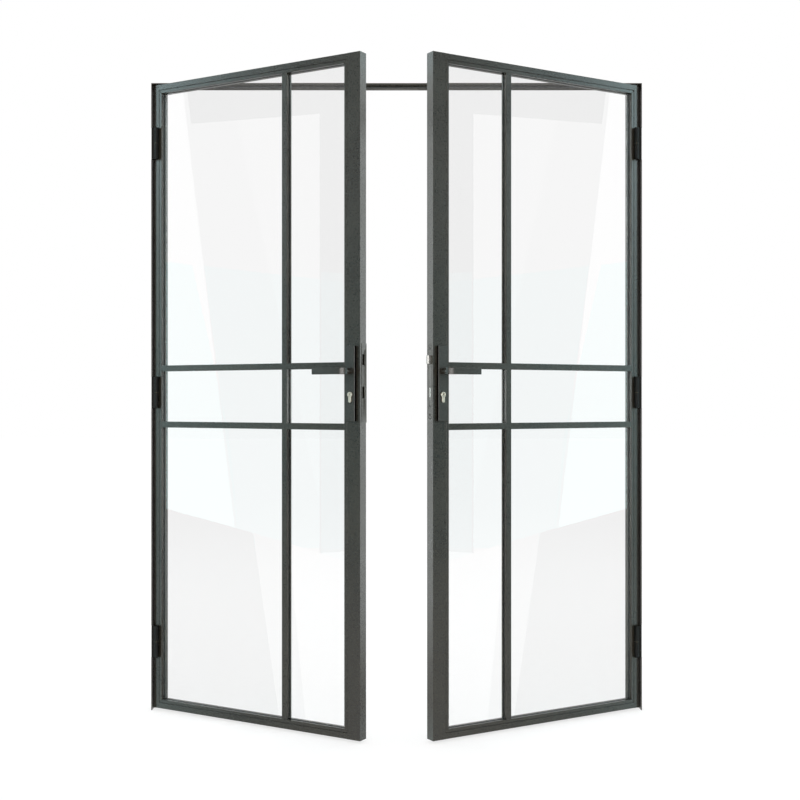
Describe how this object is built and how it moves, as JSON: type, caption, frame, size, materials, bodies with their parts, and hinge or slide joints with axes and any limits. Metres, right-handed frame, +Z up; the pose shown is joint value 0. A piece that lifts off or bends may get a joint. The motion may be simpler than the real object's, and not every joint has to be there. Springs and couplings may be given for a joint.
{
  "type": "french doors",
  "caption": "Double glazed-leaf steel doors in a slim rebated frame, with asymmetric flat glazing bars, barrel hinges and flat lever handles on long cover plates.",
  "frame": {"origin": "on the floor, midway between the jambs, in the plane of the outer frame's front edge", "axes": "+X to the right seen from the side the leaves open to, +Y through the doorway into the building, +Z up; the leaves open towards -Y"},
  "size_m": [1.667, 0.4918, 2.13],
  "materials": {
    "frame_coat": "fine-textured matt powder coat, anthracite",
    "hinge_coat": "satin powder coat, anthracite",
    "handle_coat": "fine-textured matt powder coat, anthracite",
    "glass": "clear laminated glass, polished",
    "rubber": "matt black",
    "seal_rubber": "matt dark grey",
    "nickel": "satin nickel",
    "steel": "zinc-plated",
    "dark_screws": "black zinc plating, matt",
    "bright_bolt": "bright nickel",
    "lock_plate": "smooth satin powder coat, anthracite",
    "brass": "turned"
  },
  "bodies": {
    "frame": {"left_jamb": "frame_coat", "right_jamb": "frame_coat", "head": "frame_coat", "frame_seals": "seal_rubber", "hinge_pins": "steel", "hinge_washers": "brass", "left_jamb_hinge_low": "hinge_coat", "left_jamb_hinge_mid": "hinge_coat", "left_jamb_hinge_top": "hinge_coat", "right_jamb_hinge_low": "hinge_coat", "right_jamb_hinge_mid": "hinge_coat", "right_jamb_hinge_top": "hinge_coat"},
    "left_leaf": {"left_leaf_hinge_low": "hinge_coat", "left_leaf_hinge_mid": "hinge_coat", "left_leaf_hinge_top": "hinge_coat", "left_hinge_stile": "frame_coat", "left_lock_stile": "frame_coat", "left_top_rail": "frame_coat", "left_bottom_rail": "frame_coat", "left_glass": "glass", "left_glazing_beads": "frame_coat", "left_glazing_tape": "rubber", "left_front_bars": "frame_coat", "left_back_bars": "frame_coat", "left_outer_plate": "handle_coat", "left_inner_plate": "handle_coat", "left_cylinder": "nickel", "left_handle_screws": "dark_screws", "left_gear_case": "steel", "left_strike_plate": "lock_plate"},
    "right_leaf": {"right_leaf_hinge_low": "hinge_coat", "right_leaf_hinge_mid": "hinge_coat", "right_leaf_hinge_top": "hinge_coat", "right_hinge_stile": "frame_coat", "right_lock_stile": "frame_coat", "right_top_rail": "frame_coat", "right_bottom_rail": "frame_coat", "right_glass": "glass", "right_glazing_beads": "frame_coat", "right_glazing_tape": "rubber", "right_front_bars": "frame_coat", "right_back_bars": "frame_coat", "right_outer_plate": "handle_coat", "right_inner_plate": "handle_coat", "right_cylinder": "nickel", "right_lock_screws": "dark_screws", "right_lock_case": "steel", "right_face_plate": "lock_plate"},
    "left_lever": {"left_outer_lever": "handle_coat", "left_inner_turn": "handle_coat", "left_spindle": "steel"},
    "right_lever": {"right_outer_lever": "handle_coat", "right_inner_turn": "handle_coat", "right_spindle": "steel"},
    "left_key_plugs": {"left_cylinder_plugs": "nickel"},
    "right_key_plugs": {"right_cylinder_plugs": "nickel"},
    "top_bolt": {"left_top_rod": "steel"},
    "bottom_bolt": {"left_bottom_rod": "steel"},
    "latch_bolt": {"right_latch": "steel"},
    "dead_bolt": {"right_deadbolt": "bright_bolt"}
  },
  "joints": [
    {"name": "left_leaf_swing", "type": "hinge", "parent": "frame", "child": "left_leaf", "pos_m": [-0.814, -0.007, 1.079], "axis": [0, 0, -1], "range_deg": [-30.7, 139.3]},
    {"name": "right_leaf_swing", "type": "hinge", "parent": "frame", "child": "right_leaf", "pos_m": [0.814, -0.007, 1.079], "axis": [0, 0, 1], "range_deg": [-30.7, 139.3]},
    {"name": "left_lever_turn", "type": "hinge", "parent": "left_leaf", "child": "left_lever", "pos_m": [-0.12866, -0.38543, 1.142], "axis": [-0.5105, -0.8599, 0], "range_deg": [0, 90]},
    {"name": "top_bolt_slide", "type": "slide", "parent": "left_leaf", "child": "top_bolt", "axis": [0, 0, 1], "range_m": [0, 0.015]},
    {"name": "bottom_bolt_slide", "type": "slide", "parent": "left_leaf", "child": "bottom_bolt", "axis": [0, 0, -1], "range_m": [0, 0.015]},
    {"name": "left_key_turn", "type": "hinge", "parent": "left_leaf", "child": "left_key_plugs", "pos_m": [-0.12866, -0.38543, 1.07], "axis": [-0.5105, -0.8599, 0], "range_deg": [0, 90]},
    {"name": "right_lever_turn", "type": "hinge", "parent": "right_leaf", "child": "right_lever", "pos_m": [0.12866, -0.38543, 1.142], "axis": [-0.5105, 0.8599, 0], "range_deg": [0, 40], "stiffness_Nm_per_rad": 1.2, "springref_deg": -28.65},
    {"name": "latch_slide", "type": "slide", "parent": "right_leaf", "child": "latch_bolt", "axis": [0.8599, 0.5105, 0], "range_m": [0, 0.011]},
    {"name": "right_key_turn", "type": "hinge", "parent": "right_leaf", "child": "right_key_plugs", "pos_m": [0.12866, -0.38543, 1.07], "axis": [-0.5105, 0.8599, 0], "range_deg": [0, 360]},
    {"name": "deadbolt_slide", "type": "slide", "parent": "right_leaf", "child": "dead_bolt", "axis": [-0.8599, -0.5105, 0], "range_m": [0, 0.018]}
  ],
  "couplings": [
    {"joint": "top_bolt_slide", "follows": "left_lever_turn", "m_per_rad": 0.00954},
    {"joint": "bottom_bolt_slide", "follows": "left_lever_turn", "m_per_rad": 0.00954},
    {"joint": "latch_slide", "follows": "right_lever_turn", "m_per_rad": 0.01575},
    {"joint": "right_key_turn", "follows": "deadbolt_slide", "rad_per_m": 349}
  ]
}
